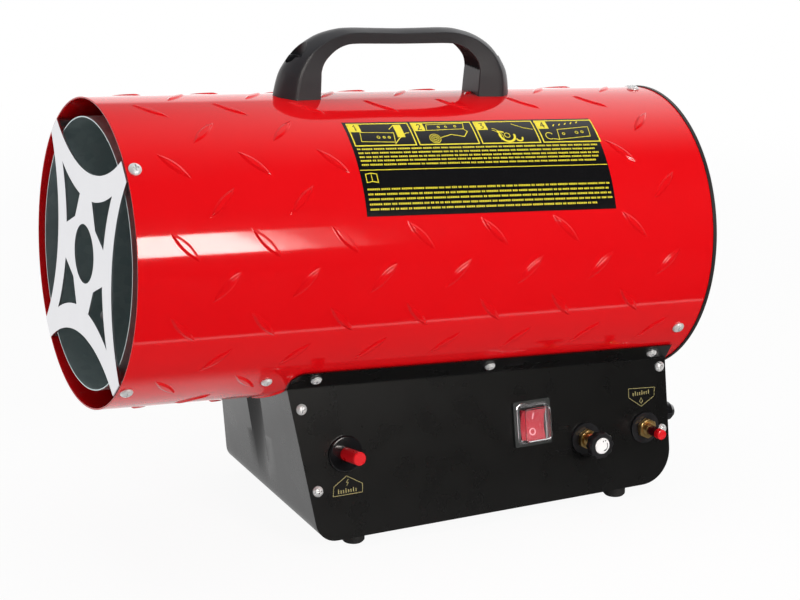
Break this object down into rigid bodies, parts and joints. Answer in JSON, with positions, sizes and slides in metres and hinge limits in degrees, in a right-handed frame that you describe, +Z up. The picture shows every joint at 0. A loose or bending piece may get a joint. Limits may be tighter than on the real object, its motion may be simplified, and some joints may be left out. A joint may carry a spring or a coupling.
{
  "type": "portable forced-air gas heater",
  "caption": "Forced-air gas heater: a tilted sheet-metal tube with an outlet grille and a carrying handle, on a folded base with igniter, switch, regulator and valve.",
  "frame": {"origin": "on the floor under the middle of the heater", "axes": "+X from the hot outlet to the rear guard, +Z up; the controls are on the -Y side"},
  "size_m": [0.4692, 0.2216, 0.3654],
  "materials": {
    "red_paint": "gloss",
    "black_paint": "satin",
    "black_edging": "satin",
    "galvanised_sheet": "satin",
    "grille_steel": "satin",
    "zinc_screws": "bright",
    "bright_steel": "bright",
    "heat_steel": "heat tinted",
    "motor_can": "satin",
    "fan_aluminium": "satin",
    "brass": "machined",
    "copper_tip": "drawn",
    "ceramic": "glazed",
    "rubber_feet": "matt",
    "handle_plastic": "fine grain",
    "gloss_black": "gloss",
    "knob_black": "satin",
    "washer_black": "satin",
    "red_button": "gloss",
    "white_cap": "gloss",
    "clear_cover": "clear",
    "lead_sleeve": "satin"
  },
  "bodies": {
    "heater": {"outer_tube": "red_paint", "rear_trim": "black_edging", "liner": "galvanised_sheet", "liner_straps": "galvanised_sheet", "liner_screws": "zinc_screws", "front_grille": "grille_steel", "grille_screws": "zinc_screws", "strap_screws": "zinc_screws", "rear_guard": "black_paint", "guard_screws": "zinc_screws", "motor": "motor_can", "motor_screws": "zinc_screws", "burner_head": "heat_steel", "flame_disc": "heat_steel", "burner_bracket": "galvanised_sheet", "bracket_screws": "zinc_screws", "burner_nozzle": "brass", "electrode_ceramic": "ceramic", "electrode_pin": "bright_steel", "thermocouple": "copper_tip", "overheat_thermostat": "bright_steel", "front_panel": "black_paint", "back_panel": "black_paint", "base_channel": "black_paint", "side_screws": "zinc_screws", "flange_screws": "zinc_screws", "feet": "rubber_feet", "foot_screws": "zinc_screws", "handle": "handle_plastic", "handle_screws": "zinc_screws", "handle_nuts": "zinc_screws", "igniter_body": "gloss_black", "igniter_nut": "gloss_black", "switch_body": "gloss_black", "switch_cover": "clear_cover", "control_washers": "washer_black", "control_nuts": "brass", "regulator_body": "brass", "valve_body": "brass", "gas_inlet": "brass", "inlet_nuts": "brass", "cable_gland": "gloss_black", "gland_nut": "gloss_black", "gas_pipe": "copper_tip", "riser_pipe": "copper_tip", "spark_lead": "lead_sleeve", "thermocouple_lead": "copper_tip", "motor_lead": "lead_sleeve", "lead_grommet": "rubber_feet", "terminal_block": "white_cap"},
    "fan_rotor": {"motor_shaft": "bright_steel", "fan": "fan_aluminium", "fan_nut": "zinc_screws"},
    "igniter_button": {"igniter_button": "red_button"},
    "valve_button": {"valve_button": "red_button"},
    "regulator_knob": {"regulator_knob": "knob_black", "knob_cap": "white_cap"},
    "rocker": {"switch_rocker": "red_button"}
  },
  "joints": [
    {"name": "fan_spin", "type": "hinge", "parent": "heater", "child": "fan_rotor", "pos_m": [0.13826, 0, 0.19709], "axis": [0.9982, 0, -0.0593], "continuous": true},
    {"name": "igniter_press", "type": "slide", "parent": "heater", "child": "igniter_button", "axis": [-0.011, 0.9826, -0.1853], "range_m": [0, 0.006], "stiffness_N_per_m": 600},
    {"name": "valve_press", "type": "slide", "parent": "heater", "child": "valve_button", "axis": [-0.0112, 0.9966, -0.0816], "range_m": [0, 0.004], "stiffness_N_per_m": 400},
    {"name": "regulator_turn", "type": "hinge", "parent": "heater", "child": "regulator_knob", "pos_m": [0.13982, -0.09898, 0.05443], "axis": [0.0112, -0.9966, 0.0816], "range_deg": [0, 270]},
    {"name": "rocker_tilt", "type": "hinge", "parent": "heater", "child": "rocker", "pos_m": [0.09347, -0.07314, 0.07064], "axis": [-0.9999, -0.0112, 0], "range_deg": [0, 14]}
  ]
}
